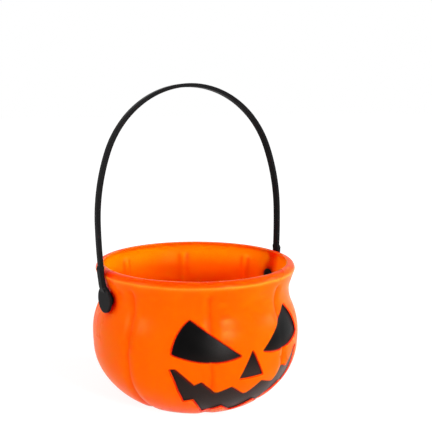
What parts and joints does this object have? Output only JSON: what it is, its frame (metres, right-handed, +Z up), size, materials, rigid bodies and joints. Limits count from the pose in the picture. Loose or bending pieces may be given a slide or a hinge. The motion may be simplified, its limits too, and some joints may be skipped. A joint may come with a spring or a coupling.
{
  "type": "pumpkin candy pail",
  "caption": "Hollow pumpkin-shaped pail with lobed sides, a turned-in lip, a sunk painted face and a swinging strap handle, for carrying sweets.",
  "frame": {"origin": "middle of the flat base, on the surface the pail stands on", "axes": "+Z up along the pail's axis, -Y the way the face looks, X along the line of the handle's studs"},
  "size_m": [0.1346, 0.132, 0.1968],
  "materials": {
    "orange_plastic": "satin",
    "black_plastic": "satin",
    "black_paint": "satin"
  },
  "bodies": {
    "pail": {"pail_shell": "orange_plastic", "left_eye_paint": "black_paint", "right_eye_paint": "black_paint", "nose_paint": "black_paint", "mouth_paint": "black_paint"},
    "handle": {"handle": "black_plastic"}
  },
  "joints": [
    {"name": "handle_swing", "type": "hinge", "parent": "pail", "child": "handle", "pos_m": [0, 0, 0.0678], "axis": [1, 0, 0], "range_deg": [-115, 115]}
  ]
}
